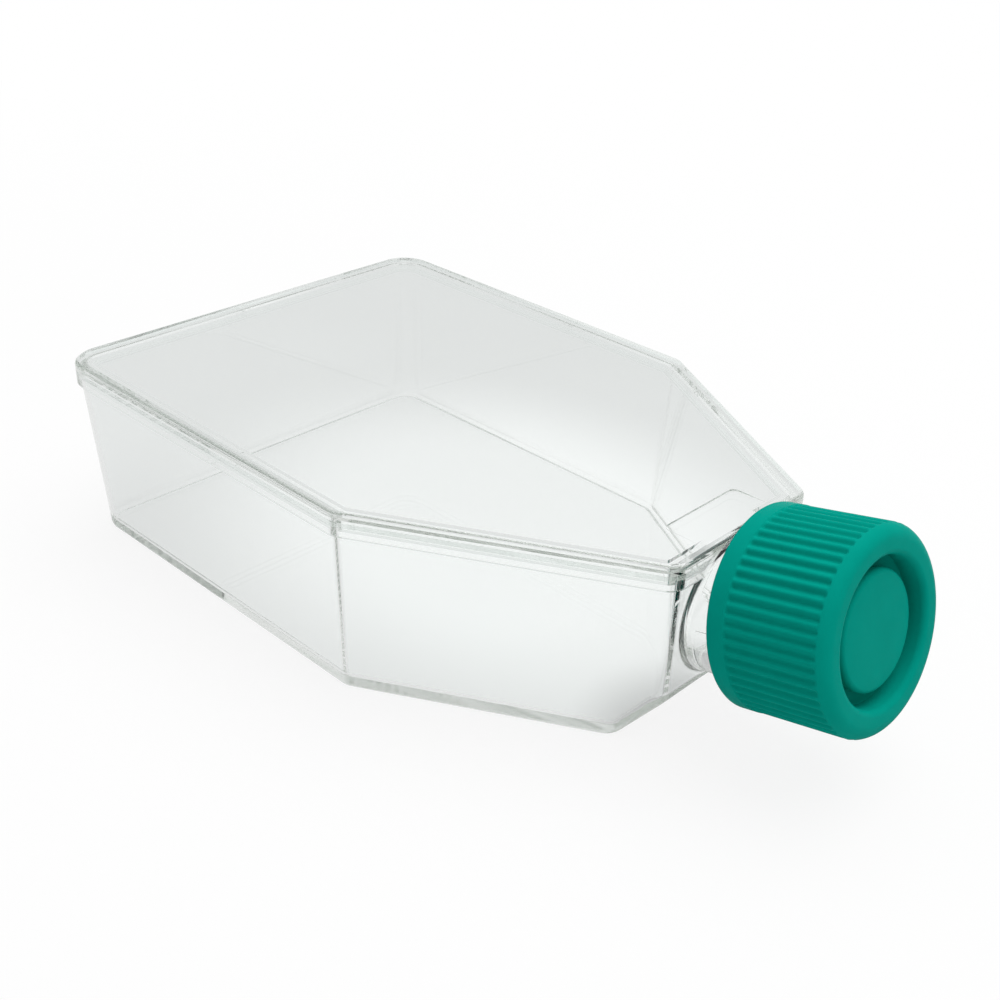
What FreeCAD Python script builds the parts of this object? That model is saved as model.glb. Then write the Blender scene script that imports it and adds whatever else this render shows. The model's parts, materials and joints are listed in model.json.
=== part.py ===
import FreeCAD, Part
import math
import os

# Cell culture flask, 75 cm2 class, in millimetres.
# Z is up, X runs from the rear wall to the neck, Y = 0 is the plane of symmetry.
# The origin lies on the resting face of the tray.

# --- plan of the body, taken at the rim ---
body_width = 84.0
straight_length = 76.4
taper_length = 45.4
front_width = 32.6
rear_x = -58.0
rear_corner_radius = 6.4
side_corner_radius = 3.8
front_corner_radius = 3.8

# --- heights ---
body_height = 34.1
plate_thickness = 2.3
flange_height = 1.85

# --- walls of the tray ---
wall = 1.6
floor_thickness = 1.5
flange_overhang = 0.6
foot_inset_rear = 2.5
foot_inset_side = 2.35
foot_inset_taper = 2.5
foot_inset_front = 2.0
outer_floor_round = 1.2
inner_floor_round = 1.5
ramp_foot_round = 4.0
ramp_run = 8.6
ramp_rise = 8.6

# --- welded top plate ---
plate_edge_round = 0.8
tongue_width = 1.2
tongue_depth = 1.5
tongue_clearance = 0.1
relief_length = 6.6
relief_half_width = 8.8
relief_depth = 0.3
relief_back = 9.0
relief_corner = 1.2

# --- canted neck ---
neck_tilt = 13.7
neck_wall = 2.6
neck_root_round = 1.1
neck_root_margin = 0.3
neck_root_depth = 8.0
neck_lip_round = 0.5

# --- screw cap ---
cap_radius = 15.8
cap_length = 19.6
cap_front_distance = 25.4
skirt_wall = 2.4
thread_room = 1.2
cap_shoulder_round = 2.4
cap_rear_round = 0.3
cap_deck = 4.8
rib_count = 56
rib_groove_radius = 0.46
rib_groove_depth = 0.55
rear_band = 3.0
face_ring_width = 4.6
moat_width = 2.1
moat_depth = 3.6
moat_lip_round = 1.0
disc_recess = 1.34
disc_edge_round = 0.8
disc_thickness = 1.5
web_count = 6
web_width = 2.4
post_wall = 1.1

# --- vent membrane ---
membrane_inset = 1.3
membrane_thickness = 0.4
membrane_side_clearance = 0.08
membrane_face_clearance = 0.05

# --- values that follow from the ones above ---
front_x = rear_x + straight_length + taper_length
side_x = rear_x + straight_length
ramp_x = front_x - ramp_run
cap_bore_radius = cap_radius - skirt_wall
neck_radius = cap_bore_radius - thread_room
bore_radius = neck_radius - neck_wall
moat_outer_radius = cap_radius - face_ring_width
moat_inner_radius = moat_outer_radius - moat_width
membrane_radius = neck_radius - membrane_inset
seam_z = body_height - plate_thickness
flange_z = seam_z - flange_height
tilt = math.radians(neck_tilt)
neck_axis = FreeCAD.Vector(math.cos(tilt), 0, math.sin(tilt))
neck_side = FreeCAD.Vector(0, 1, 0)
neck_up = FreeCAD.Vector(-math.sin(tilt), 0, math.cos(tilt))
# the top of the bore meets the underside of the lid plate at the front of the rim
axis_height = seam_z - bore_radius / math.cos(tilt)
neck_foot = FreeCAD.Vector(front_x, 0, axis_height)
cap_front = neck_foot + neck_axis * cap_front_distance
up = FreeCAD.Vector(0, 0, 1)


def on_axis(back):
    """Point on the neck axis, measured backward from the front face of the cap."""
    return cap_front - neck_axis * back


def outline(rear, side, taper, front, z, shrink):
    """Closed wire of the six-sided plan, moved in from the rim and rounded at its corners."""
    angle = math.atan2((body_width - front_width) / 2, taper_length)
    ahead = math.sin(angle)
    aside = math.cos(angle)
    half = body_width / 2
    lines = []
    lines.append((rear_x + rear, 0, -1, 0))
    lines.append((0, half - side, 0, 1))
    lines.append((side_x - taper * ahead, half - taper * aside, ahead, aside))
    lines.append((front_x - front, 0, 1, 0))
    lines.append((side_x - taper * ahead, taper * aside - half, ahead, -aside))
    lines.append((0, side - half, 0, -1))
    radii = [rear_corner_radius, side_corner_radius, front_corner_radius]
    radii = radii + [front_corner_radius, side_corner_radius, rear_corner_radius]
    starts = []
    ends = []
    middles = []
    for i in range(6):
        px, py, nx, ny = lines[i]
        qx, qy, mx, my = lines[(i + 1) % 6]
        r = max(radii[i] - shrink, 0.8)
        cross = nx * my - ny * mx
        reach_n = nx * px + ny * py - r
        reach_m = mx * qx + my * qy - r
        cx = (reach_n * my - reach_m * ny) / cross
        cy = (nx * reach_m - mx * reach_n) / cross
        length = math.hypot(nx + mx, ny + my)
        starts.append(FreeCAD.Vector(cx + r * nx, cy + r * ny, z))
        middles.append(FreeCAD.Vector(cx + r * (nx + mx) / length, cy + r * (ny + my) / length, z))
        ends.append(FreeCAD.Vector(cx + r * mx, cy + r * my, z))
    edges = []
    for i in range(6):
        edges.append(Part.Arc(starts[i], middles[i], ends[i]).toShape())
        edges.append(Part.LineSegment(ends[i], starts[(i + 1) % 6]).toShape())
    return Part.Wire(edges)


def wall_outline(z, depth):
    """Plan of the drafted wall at a height, moved in by a depth from its outer face."""
    f = 1 - z / seam_z
    step = flange_overhang
    rear = step + (foot_inset_rear - step) * f + depth
    side = step + (foot_inset_side - step) * f + depth
    taper = step + (foot_inset_taper - step) * f + depth
    front = step + (foot_inset_front - step) * f + depth
    return outline(rear, side, taper, front, z, step + depth)


def rim_prism(inset, low, high):
    """Straight-sided prism on the plan of the rim."""
    low_wire = outline(inset, inset, inset, inset, low, inset)
    high_wire = outline(inset, inset, inset, inset, high, inset)
    return Part.makeLoft([low_wire, high_wire], True, True)


def wall_front(z):
    """Outer face of the front wall at a height."""
    return front_x - foot_inset_front + (foot_inset_front - flange_overhang) * z / seam_z


def ramp_wedge(lift):
    """Room under the ramp, which rises from the floor to the neck, and under the neck."""
    top_x = wall_front(ramp_rise)
    slope = ramp_rise / (top_x - ramp_x)
    shift = lift * math.sqrt(1 + slope * slope)
    behind = 40.0
    ahead = 30.0
    a = FreeCAD.Vector(ramp_x - behind, -60, -80)
    b = FreeCAD.Vector(top_x + ahead, -60, -80)
    c = FreeCAD.Vector(top_x + ahead, -60, ramp_rise + shift + ahead * math.tan(tilt))
    d = FreeCAD.Vector(top_x, -60, ramp_rise + shift)
    e = FreeCAD.Vector(ramp_x - behind, -60, shift - behind * slope)
    face = Part.Face(Part.makePolygon([a, b, c, d, e, a]))
    return face.extrude(FreeCAD.Vector(0, 120, 0))


def low_edges(shape, top):
    """Edges of the floor and the sides of the ramp, which get the same rounding."""
    found = []
    for edge in shape.Edges:
        box = edge.BoundBox
        flat_end = box.ZLength < 0.1 and box.ZMin > 1.0 + floor_thickness
        upright = box.XLength < 0.5 and box.YLength < 2.0
        if box.ZMax < top and not flat_end and not upright:
            found.append(edge)
    return found


def ramp_foot(shape):
    """Edge across the flask where the floor turns up into the ramp."""
    found = []
    for edge in shape.Edges:
        box = edge.BoundBox
        across = box.XLength < 0.5 and box.ZLength < 0.5 and box.YLength > front_width / 2
        if across and box.XMin > ramp_x - 2.0 and box.ZMax < floor_thickness + 0.5:
            found.append(edge)
    return found


def rounded_floor(shape, foot_round, edge_round, top):
    """Round the foot of the ramp first, then the whole edge of floor and ramp."""
    shape = shape.makeFillet(foot_round, ramp_foot(shape))
    return shape.makeFillet(edge_round, low_edges(shape, top))


def tray_outside(height):
    """Outer form of the drafted tray with its ramp."""
    tall = Part.makeLoft([wall_outline(0, 0), wall_outline(height, 0)], True, True)
    tall = tall.cut(ramp_wedge(0))
    return rounded_floor(tall, ramp_foot_round, outer_floor_round, ramp_rise + 1.0)


def chamber():
    """Hollow of the tray, with its own ramp and rounded floor edge."""
    low = wall_outline(floor_thickness, wall)
    high = wall_outline(seam_z + 1.0, wall)
    hollow = Part.makeLoft([low, high], True, True)
    hollow = hollow.cut(ramp_wedge(floor_thickness))
    top = ramp_rise + floor_thickness + 2.0
    return rounded_floor(hollow, ramp_foot_round - floor_thickness, inner_floor_round, top)


def neck_cylinder(radius, front_back, rear_back):
    """Solid rod on the neck axis between two distances behind the cap's front face."""
    return Part.makeCylinder(radius, rear_back - front_back, on_axis(rear_back), neck_axis)


def neck_end():
    """Distance of the neck's lip behind the cap's front face."""
    return cap_deck + membrane_face_clearance


def neck_with_root():
    """Outer form of the neck, with the round where it leaves the front wall."""
    top = seam_z + 14.0
    a = FreeCAD.Vector(front_x - neck_root_depth, -20, 0)
    b = FreeCAD.Vector(wall_front(0), -20, 0)
    c = FreeCAD.Vector(wall_front(top), -20, top)
    d = FreeCAD.Vector(front_x - neck_root_depth, -20, top)
    block = Part.Face(Part.makePolygon([a, b, c, d, a])).extrude(FreeCAD.Vector(0, 40, 0))
    joined = block.fuse(neck_cylinder(neck_radius, neck_end(), cap_front_distance + 6.0))
    roots = []
    for edge in joined.Edges:
        box = edge.BoundBox
        large = box.ZLength > neck_radius and box.YLength > neck_radius - 1.0
        curved = edge.Curve.TypeId != "Part::GeomLine"
        if large and curved and box.XMax < front_x + 3.0:
            roots.append(edge)
    joined = joined.makeFillet(neck_root_round, roots)
    lips = []
    for edge in joined.Edges:
        if edge.Curve.TypeId == "Part::GeomCircle" and edge.BoundBox.XMin > front_x + 10.0:
            lips.append(edge)
    joined = joined.makeFillet(neck_lip_round, lips)
    reach = neck_radius + neck_root_round + neck_root_margin
    joined = joined.common(neck_cylinder(reach, 0, cap_front_distance + 7.0))
    return joined.cut(ramp_wedge(0))


def make_tray():
    """Clear moulding: floor, ramp, drafted walls, welding flange and canted neck."""
    solid = tray_outside(seam_z).fuse(neck_with_root())
    over = Part.makeBox(200, 120, 60, FreeCAD.Vector(front_x - 200, -60, seam_z))
    solid = solid.cut(over)
    solid = solid.fuse(rim_prism(0, flange_z, seam_z))
    solid = solid.cut(chamber())
    bore = neck_cylinder(bore_radius, 0, cap_front_distance + 9.0)
    solid = solid.cut(bore)
    return solid.removeSplitter()


def make_plate():
    """Clear lid plate, with the tongue that locates it and the relief above the neck mouth."""
    plate = rim_prism(0, seam_z, body_height)
    top = [e for e in plate.Edges if e.BoundBox.ZMin > body_height - 0.1]
    plate = plate.makeFillet(plate_edge_round, top)
    outer = flange_overhang + wall + tongue_clearance
    ring = rim_prism(outer, seam_z - tongue_depth, seam_z)
    ring = ring.cut(rim_prism(outer + tongue_width, seam_z - tongue_depth, seam_z))
    mouth = neck_cylinder(neck_radius, 0, cap_front_distance + 12.0)
    ring = ring.cut(mouth)
    plate = plate.fuse(ring)
    return plate.cut(relief()).removeSplitter()


def relief():
    """Shallow panel above the neck mouth, deepest at its rear edge and fading to nothing."""
    start = front_x - relief_back
    drop = body_height - relief_depth
    low = FreeCAD.Vector(start, -relief_half_width, drop)
    far = FreeCAD.Vector(start + relief_length, -relief_half_width, body_height)
    high = FreeCAD.Vector(start, -relief_half_width, body_height + 1.0)
    end = FreeCAD.Vector(start + relief_length, -relief_half_width, body_height + 1.0)
    face = Part.Face(Part.makePolygon([low, far, end, high, low]))
    body = face.extrude(FreeCAD.Vector(0, 2 * relief_half_width, 0))
    corners = []
    for edge in body.Edges:
        box = edge.BoundBox
        if box.ZLength > 1.0 and box.XLength < 0.01 and abs(box.XMin - start) < 0.01:
            corners.append(edge)
    return body.makeFillet(relief_corner, corners)


def in_section(back, radius):
    """Point of the cap's section: a distance behind the front face and from the axis."""
    return on_axis(back) + neck_up * radius


def arc(start, middle, end):
    """Arc through three points of the section."""
    return Part.Arc(in_section(*start), in_section(*middle), in_section(*end)).toShape()


def line(start, end):
    """Straight edge of the section."""
    return Part.LineSegment(in_section(*start), in_section(*end)).toShape()


def quarter(centre_back, centre_radius, round_size, back_sign, radius_sign):
    """Middle point of a quarter round about a centre of the section."""
    step = round_size / math.sqrt(2)
    return (centre_back + back_sign * step, centre_radius + radius_sign * step)


def cap_section():
    """Half section of the cap: deck, moat, raised disc and skirt."""
    s = cap_shoulder_round
    m = moat_lip_round
    d = disc_edge_round
    r = cap_rear_round
    plenum = moat_inner_radius - post_wall
    under_disc = disc_recess + disc_thickness
    seat = cap_deck - membrane_thickness
    seat_radius = membrane_radius + membrane_side_clearance
    p = []
    p.append(line((disc_recess, 0), (disc_recess, moat_inner_radius - d)))
    corner = quarter(disc_recess + d, moat_inner_radius - d, d, -1, 1)
    p.append(arc((disc_recess, moat_inner_radius - d), corner, (disc_recess + d, moat_inner_radius)))
    p.append(line((disc_recess + d, moat_inner_radius), (moat_depth, moat_inner_radius)))
    p.append(line((moat_depth, moat_inner_radius), (moat_depth, moat_outer_radius)))
    p.append(line((moat_depth, moat_outer_radius), (m, moat_outer_radius)))
    corner = quarter(m, moat_outer_radius + m, m, -1, -1)
    p.append(arc((m, moat_outer_radius), corner, (0, moat_outer_radius + m)))
    p.append(line((0, moat_outer_radius + m), (0, cap_radius - s)))
    corner = quarter(s, cap_radius - s, s, -1, 1)
    p.append(arc((0, cap_radius - s), corner, (s, cap_radius)))
    p.append(line((s, cap_radius), (cap_length - r, cap_radius)))
    corner = quarter(cap_length - r, cap_radius - r, r, 1, 1)
    p.append(arc((cap_length - r, cap_radius), corner, (cap_length, cap_radius - r)))
    p.append(line((cap_length, cap_radius - r), (cap_length, cap_bore_radius)))
    p.append(line((cap_length, cap_bore_radius), (cap_deck, cap_bore_radius)))
    p.append(line((cap_deck, cap_bore_radius), (cap_deck, seat_radius)))
    p.append(line((cap_deck, seat_radius), (seat, seat_radius)))
    p.append(line((seat, seat_radius), (seat, plenum)))
    p.append(line((seat, plenum), (under_disc, plenum)))
    p.append(line((under_disc, plenum), (under_disc, 0)))
    p.append(line((under_disc, 0), (disc_recess, 0)))
    return Part.Face(Part.Wire(p))


def cap_grooves():
    """Grip grooves around the skirt, from the plain rear band to the shoulder."""
    grooves = []
    rear = cap_length - rear_band
    centre = cap_radius - rib_groove_depth + rib_groove_radius
    for i in range(rib_count):
        a = 2 * math.pi * i / rib_count
        out = neck_side * math.cos(a) + neck_up * math.sin(a)
        base = on_axis(rear) + out * centre
        groove = Part.makeCylinder(rib_groove_radius, rear + 1.0, base, neck_axis)
        grooves.append(groove)
    return grooves


def vent_windows():
    """Openings behind the disc, between the webs that carry it."""
    plenum = moat_inner_radius - post_wall
    top = disc_recess + disc_thickness
    outer = Part.makeCylinder(moat_inner_radius + 0.2, moat_depth - top, on_axis(moat_depth), neck_axis)
    inner = Part.makeCylinder(plenum - 0.2, moat_depth - top, on_axis(moat_depth), neck_axis)
    ring = outer.cut(inner)
    for i in range(web_count):
        web = Part.makeBox(moat_inner_radius + 2.0, web_width, 4.0, FreeCAD.Vector(0, -web_width / 2, 0))
        web.rotate(FreeCAD.Vector(0, 0, 0), up, 360.0 * i / web_count)
        web.rotate(FreeCAD.Vector(0, 0, 0), neck_side, 90.0 - neck_tilt)
        web.translate(on_axis(moat_depth + 1.0))
        ring = ring.cut(web)
    return ring


def make_cap():
    """Ribbed screw cap, turned about the neck axis."""
    cap = cap_section().revolve(on_axis(0), neck_axis, 360)
    if cap.Volume < 0:
        cap = cap.reversed()
    cap = cap.cut(vent_windows())
    return cap.cut(cap_grooves())


def make_membrane():
    """Filter membrane that covers the vent on the underside of the deck."""
    front = cap_deck - membrane_thickness + membrane_face_clearance
    back = cap_deck
    return neck_cylinder(membrane_radius, front, back)


def write(shape, name):
    """Check one piece and write it to its own file."""
    if not shape.isValid() or len(shape.Solids) != 1:
        raise ValueError(name + " is not one sound solid")
    shape.Solids[0].exportStep("parts/" + name + ".step")
    print(name, round(shape.Volume / 1000, 2), "cm3", shape.BoundBox)


os.makedirs("parts", exist_ok=True)
write(make_tray(), "flask_tray")
write(make_plate(), "top_plate")
write(make_cap(), "screw_cap")
write(make_membrane(), "vent_membrane")
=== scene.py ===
"""Cell culture flask: a clear two-piece body with a canted neck and a green vented screw cap."""

import json
import math

import bmesh
import bpy
from bpy.props import FloatProperty, FloatVectorProperty, IntProperty, PointerProperty
from mathutils import Matrix, Vector


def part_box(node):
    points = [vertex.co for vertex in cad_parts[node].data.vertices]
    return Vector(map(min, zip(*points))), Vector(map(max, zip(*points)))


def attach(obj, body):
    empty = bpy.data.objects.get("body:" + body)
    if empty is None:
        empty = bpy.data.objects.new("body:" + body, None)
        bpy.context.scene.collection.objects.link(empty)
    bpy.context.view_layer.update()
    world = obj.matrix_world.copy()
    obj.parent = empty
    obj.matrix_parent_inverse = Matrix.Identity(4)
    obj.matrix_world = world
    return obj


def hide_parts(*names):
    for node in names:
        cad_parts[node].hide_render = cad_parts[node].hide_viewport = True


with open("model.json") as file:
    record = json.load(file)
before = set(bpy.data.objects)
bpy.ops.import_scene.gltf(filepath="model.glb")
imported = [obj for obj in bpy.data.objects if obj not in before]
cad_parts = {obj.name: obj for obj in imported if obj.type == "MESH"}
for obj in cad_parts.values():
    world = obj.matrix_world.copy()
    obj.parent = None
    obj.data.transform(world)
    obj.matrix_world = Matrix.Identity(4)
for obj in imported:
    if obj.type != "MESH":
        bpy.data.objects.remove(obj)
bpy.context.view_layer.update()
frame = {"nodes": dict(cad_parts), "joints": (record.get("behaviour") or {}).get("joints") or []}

bl_info = {
    "name": "Cell culture flask",
    "version": (1, 0, 0),
    "blender": (4, 5, 0),
    "location": "3D View > Sidebar > Flask",
    "description": "Builds a clear cell culture flask with a green vented screw cap, and its stage",
    "category": "Object",
}

MM = 0.001

# --- places that come from the frame ---
cap_joint = next(j for j in frame["joints"] if j["name"] == "cap_turn")
AXIS = Vector(cap_joint["axis"]).normalized()
CAP_FRONT = Vector(cap_joint["pos_m"])
SIDE = Vector((0.0, 1.0, 0.0))
cap_low, cap_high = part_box("screw_cap")
BOX_CLEARANCE = 0.005 * MM
CAP_RADIUS = (cap_high.y - cap_low.y) / 2 - BOX_CLEARANCE

# --- places inside the cap that its turned shape and its vents share ---
DISC_BACK = 2.84 * MM
MOAT_FLOOR = 3.6 * MM
POST_RADIUS = 9.1 * MM

# --- walls of the tray: headings in degrees, and how far an outward normal leans down ---
TAPER_HEADING = 60.49
REAR_HEADING = 180.0
WALL_HEADINGS = (-90.0, -TAPER_HEADING, 0.0, TAPER_HEADING, 90.0, REAR_HEADING)
HEADING_SLACK = 0.5
LEAST_LEAN = 0.02
MOST_LEAN = 0.1

# --- light, camera, and the angles in degrees above which an edge stays sharp ---
CLEAR_CREASE = 25
SATIN_CREASE = 35
LIGHT_BOUNCES = 256
SOFTBOX_PLACE = Vector((0.12, 0.3, 1.1))
SOFTBOX_AIM = Vector((0.02, 0.0, 0.02))
CAMERA_PLACE = Vector((0.15867, -0.15252, 0.13879))
CAMERA_RIGHT = Vector((0.7245, 0.68826, 0.03737))
CAMERA_AHEAD = Vector((-0.59008, 0.64734, -0.48245))


def cap_place():
    """Turns a shape made on Z, with its front at zero, into its place on the neck axis."""
    turned = Matrix((SIDE.cross(AXIS), SIDE, AXIS)).transposed().to_4x4()
    return Matrix.Translation(CAP_FRONT) @ turned


# --- sizes and colours a user would change ---
class FlaskBodySettings(bpy.types.PropertyGroup):
    weld_overlap: FloatProperty(
        name="Weld Overlap", description="Depth that the lid plate sinks into the flange it is welded to",
        default=0.02 * MM, min=0.0, subtype="DISTANCE", unit="LENGTH", precision=5)
    seam_height: FloatProperty(
        name="Seam Height", description="Height of the weld above the resting face",
        default=31.8 * MM, subtype="DISTANCE", unit="LENGTH")
    tint: FloatVectorProperty(
        name="Tint", description="Colour that the clear plastic lets through in depth",
        default=(0.912, 0.92, 0.906), size=3, min=0.0, max=1.0, subtype="COLOR")
    tint_density: FloatProperty(
        name="Tint Density", description="How quickly the clear plastic takes its tint",
        default=14.0, min=0.0)
    corner_round: FloatProperty(
        name="Corner Round", description="Outer round of the upright corners at the sides and the front",
        default=3.2 * MM, subtype="DISTANCE", unit="LENGTH")
    rear_round: FloatProperty(
        name="Rear Corner Round", description="Outer round of the two upright corners at the rear",
        default=5.8 * MM, subtype="DISTANCE", unit="LENGTH")
    wall: FloatProperty(
        name="Wall", description="Thickness of the upright walls",
        default=1.6 * MM, subtype="DISTANCE", unit="LENGTH")
    refraction: FloatProperty(
        name="Refractive Index", description="Refractive index of polystyrene",
        default=1.59, min=1.0, max=2.0)


class FlaskThreadSettings(bpy.types.PropertyGroup):
    pitch: FloatProperty(
        name="Pitch", description="Rise of the thread in one turn",
        default=4.0 * MM, subtype="DISTANCE", unit="LENGTH")
    turns: FloatProperty(
        name="Turns", description="Length of each thread in turns", default=1.5, min=0.25)
    ridge: FloatProperty(
        name="Ridge Radius", description="Radius of the rounded thread ridge",
        default=0.9 * MM, subtype="DISTANCE", unit="LENGTH")
    neck_radius: FloatProperty(
        name="Neck Radius", description="Outer radius of the neck",
        default=12.2 * MM, subtype="DISTANCE", unit="LENGTH")
    bore_radius: FloatProperty(
        name="Bore Radius", description="Inner radius of the neck",
        default=9.6 * MM, subtype="DISTANCE", unit="LENGTH")
    neck_start: FloatProperty(
        name="Neck Thread Start", description="Distance of the neck thread behind the cap's front",
        default=7.2 * MM, subtype="DISTANCE", unit="LENGTH")


class FlaskCapSettings(bpy.types.PropertyGroup):
    rib_count: IntProperty(
        name="Rib Count", description="Grip ribs around the skirt", default=56, min=8)
    groove_depth: FloatProperty(
        name="Groove Depth", description="Depth of the grooves between the ribs",
        default=0.5 * MM, subtype="DISTANCE", unit="LENGTH")
    rib_relief: FloatProperty(
        name="Rib Relief", description="How far the ribs stay below the plain rear band",
        default=0.07 * MM, subtype="DISTANCE", unit="LENGTH")
    run_in: FloatProperty(
        name="Groove Run-in", description="Length over which a groove reaches its depth at the rear",
        default=0.5 * MM, min=0.0, subtype="DISTANCE", unit="LENGTH")
    groove_end: FloatProperty(
        name="Groove End", description="Distance behind the front where the grooves have run out",
        default=1.3 * MM, min=0.0, subtype="DISTANCE", unit="LENGTH")
    run_out: FloatProperty(
        name="Groove Run-out", description="Length over which a groove runs out on the shoulder",
        default=0.9 * MM, min=0.0, subtype="DISTANCE", unit="LENGTH")
    groove_shape: FloatProperty(
        name="Groove Shape", description="Higher makes the grooves narrower than the ribs",
        default=1.15, min=0.2, max=6.0)
    length: FloatProperty(
        name="Length", description="Length of the cap along its axis",
        default=19.6 * MM, subtype="DISTANCE", unit="LENGTH")
    rear_band: FloatProperty(
        name="Rear Band", description="Width of the plain band at the rear",
        default=3.0 * MM, subtype="DISTANCE", unit="LENGTH")
    shoulder: FloatProperty(
        name="Shoulder Round", description="Round of the front shoulder",
        default=2.4 * MM, subtype="DISTANCE", unit="LENGTH")
    bore: FloatProperty(
        name="Bore Radius", description="Inner radius of the skirt",
        default=13.4 * MM, subtype="DISTANCE", unit="LENGTH")
    colour: FloatVectorProperty(
        name="Colour", description="Colour of the cap",
        default=(0.001, 0.286, 0.225), size=3, min=0.0, max=1.0, subtype="COLOR")


class FlaskStageSettings(bpy.types.PropertyGroup):
    floor_colour: FloatVectorProperty(
        name="Floor Colour", description="Colour of the floor",
        default=(0.75, 0.75, 0.75), size=3, min=0.0, max=1.0, subtype="COLOR")
    shadow_share: FloatProperty(
        name="Shadow Share", description="Share of the floor's look that takes shadow",
        default=0.12, min=0.0, max=1.0, subtype="FACTOR")
    shadow_reach: FloatProperty(
        name="Shadow Reach", description="Distance from the flask at which the floor is plain white",
        default=400.0 * MM, min=0.0, subtype="DISTANCE", unit="LENGTH")
    floor_drop: FloatProperty(
        name="Floor Drop", description="Air film between the flask and the floor",
        default=0.05 * MM, min=0.0, subtype="DISTANCE", unit="LENGTH", precision=5)
    # painted light and shade on the floor, seen only through the clear plastic: a pool of light under the
    # flask, darker under its edges
    painted_pool_tone: FloatProperty(
        name="Pool Tone", description="Brightness of the light that gathers under the flask",
        default=1.06, min=0.0, max=1.1, subtype="FACTOR")
    painted_edge_tone: FloatProperty(
        name="Edge Tone", description="Brightness under the edges of the flask",
        default=0.75, min=0.0, max=1.0, subtype="FACTOR")
    # painted shade on the floor under the neck and ramp, seen through the clear plastic, and a painted
    # shadow under the cap, seen only in reflections
    neck_shade: FloatProperty(
        name="Neck Shade", description="How much darker the floor is under the neck and ramp",
        default=0.32, min=0.0, max=1.0, subtype="FACTOR")
    cap_shade: FloatProperty(
        name="Cap Shade", description="How much darker the floor under the cap is in reflections",
        default=0.75, min=0.0, max=1.0, subtype="FACTOR")
    key_power: FloatProperty(
        name="Key Light", description="Power of the large soft light overhead",
        default=13.0, min=0.0, unit="POWER")
    sky_strength: FloatProperty(
        name="Room Light", description="Strength of the light from the room", default=0.75, min=0.0)
    clear_share: FloatProperty(
        name="Clear Share", description="White mixed into the room where the clear plastic shows it",
        default=0.6, min=0.0, max=1.0, subtype="FACTOR")
    lens: FloatProperty(
        name="Lens", description="Focal length of the camera in millimetres", default=49.74, min=1.0)


# --- meshes ---
def mesh_of(name, shape):
    """A fresh mesh with the points and faces of an edited shape."""
    shape.verts.index_update()
    mesh = bpy.data.meshes.new(name)
    points = [v.co.copy() for v in shape.verts]
    faces = [[v.index for v in f.verts] for f in shape.faces]
    mesh.from_pydata(points, [], faces)
    mesh.validate()
    shape.free()
    return mesh


def merged_shape(node):
    """The solid of one node, with the doubled points of its triangles merged."""
    shape = bmesh.new()
    shape.from_mesh(frame["nodes"][node].data)
    bmesh.ops.remove_doubles(shape, verts=shape.verts, dist=0.001 * MM)
    flat = math.radians(0.6)
    bmesh.ops.dissolve_limit(
        shape, angle_limit=flat, use_dissolve_boundaries=False, verts=shape.verts, edges=shape.edges)
    return shape


def show(name, mesh):
    """A new object at the origin that shows a mesh."""
    piece = bpy.data.objects.new(name, mesh)
    bpy.context.scene.collection.objects.link(piece)
    return piece


def settle(piece):
    """Turns the piece's modifiers into its mesh."""
    bpy.context.view_layer.update()
    seen = piece.evaluated_get(bpy.context.evaluated_depsgraph_get())
    mesh = bpy.data.meshes.new_from_object(seen)
    mesh.name = piece.name
    piece.modifiers.clear()
    piece.data = mesh
    return piece


def shade(piece, sharp_angle):
    """Smooth shading with sharp edges kept, and flat faces that stay flat up to their rounds."""
    piece.data.shade_smooth()
    piece.data.set_sharp_from_angle(angle=math.radians(sharp_angle))
    weighted = piece.modifiers.new("Flat faces", "WEIGHTED_NORMAL")
    weighted.mode = "FACE_AREA"
    weighted.weight = 50
    weighted.keep_sharp = True
    return settle(piece)


def combine(piece, other, operation):
    """Joins a shape to the piece, or cuts it out of the piece."""
    cut = piece.modifiers.new("Combine", "BOOLEAN")
    cut.operation = operation
    cut.solver = "EXACT"
    cut.object = other
    settle(piece)
    bpy.data.objects.remove(other)
    return piece


def on_neck(point):
    """Distance behind the cap's front and distance from the neck axis."""
    arm = point - CAP_FRONT
    back = -arm.dot(AXIS)
    return back, (arm + AXIS * back).length


def refine_round(shape, radii, first, last):
    """Splits the facets of the neck's round walls and puts the new points on the true circle."""
    on_wall = 0.02 * MM
    flat_enough = 0.004 * MM
    near_wall = 0.2 * MM
    for _ in range(2):
        long_edges = []
        for edge in shape.edges:
            a, b = edge.verts
            back_a, out_a = on_neck(a.co)
            back_b, out_b = on_neck(b.co)
            if min(back_a, back_b) < first or max(back_a, back_b) > last:
                continue
            for radius in radii:
                if abs(out_a - radius) < on_wall and abs(out_b - radius) < on_wall:
                    middle = (a.co + b.co) / 2
                    if radius - on_neck(middle)[1] > flat_enough:
                        long_edges.append(edge)
        made = bmesh.ops.subdivide_edges(shape, edges=long_edges, cuts=1, use_grid_fill=True)
        for item in made["geom_inner"]:
            if not isinstance(item, bmesh.types.BMVert):
                continue
            back, out = on_neck(item.co)
            near = min(radii, key=lambda r: abs(r - out))
            if abs(near - out) < near_wall:
                foot = CAP_FRONT - AXIS * back
                item.co = foot + (item.co - foot) * (near / out)
        bmesh.ops.triangulate(shape, faces=[f for f in shape.faces if len(f.verts) > 4])


# --- node trees ---
def new_tree(name, inputs):
    """An empty geometry tree with the geometry and named inputs."""
    tree = bpy.data.node_groups.new(name, "GeometryNodeTree")
    tree.interface.new_socket("Geometry", in_out="INPUT", socket_type="NodeSocketGeometry")
    for label, kind, value in inputs:
        socket = tree.interface.new_socket(label, in_out="INPUT", socket_type=kind)
        if value is not None:
            socket.default_value = value
    tree.interface.new_socket("Geometry", in_out="OUTPUT", socket_type="NodeSocketGeometry")
    return tree, tree.nodes.new("NodeGroupInput"), tree.nodes.new("NodeGroupOutput")


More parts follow.
